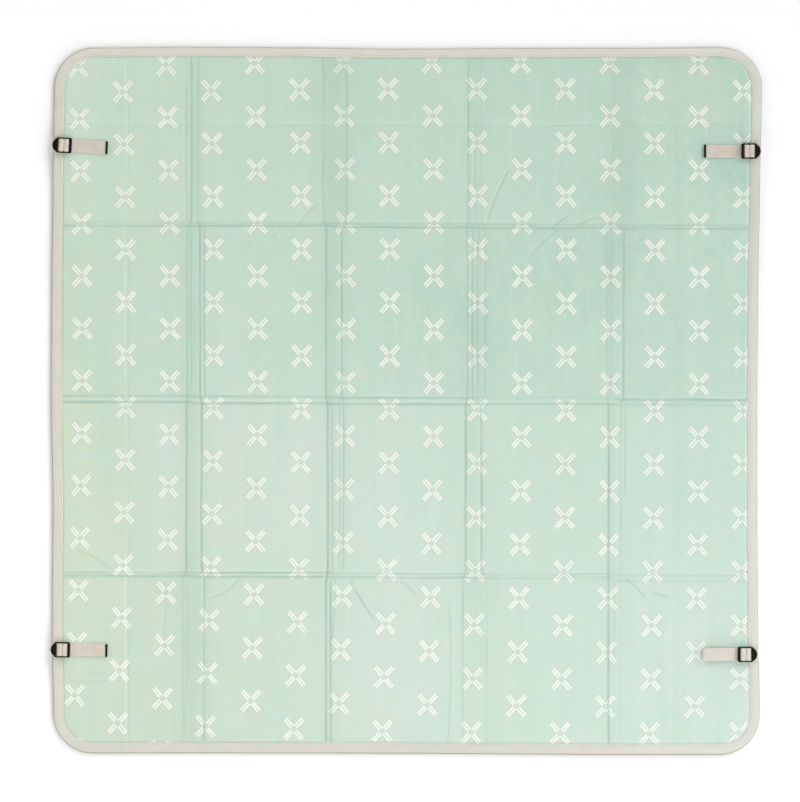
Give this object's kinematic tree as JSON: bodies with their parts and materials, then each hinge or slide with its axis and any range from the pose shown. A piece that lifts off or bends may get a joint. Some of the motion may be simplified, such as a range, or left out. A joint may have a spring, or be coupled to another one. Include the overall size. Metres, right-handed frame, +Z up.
{
  "type": "baby play mat",
  "caption": "Square padded play mat with rounded, tape-bound edges and fold creases, with webbing straps and ladder-lock buckles at two sides.",
  "frame": {"origin": "on the floor under the middle of the mat's outline", "axes": "+Z up out of the printed face, +Y towards the top edge as the mat is seen from above, +X towards its right edge"},
  "size_m": [1.4055, 1.3989, 0.0109],
  "materials": {
    "mat_cloth": "smooth coated cloth, satin",
    "binding_tape": "matt woven tape",
    "webbing": "matt woven webbing",
    "black_plastic": "moulded, satin"
  },
  "bodies": {
    "root": {"mat": "mat_cloth", "binding": "binding_tape", "strap_left_top": "webbing", "strap_right_top": "webbing", "strap_left_bottom": "webbing", "strap_right_bottom": "webbing", "buckle_left_top": "black_plastic", "buckle_right_top": "black_plastic", "buckle_left_bottom": "black_plastic", "buckle_right_bottom": "black_plastic", "tip_left_top": "black_plastic", "tip_right_top": "black_plastic", "tip_left_bottom": "black_plastic", "tip_right_bottom": "black_plastic"}
  },
  "joints": []
}
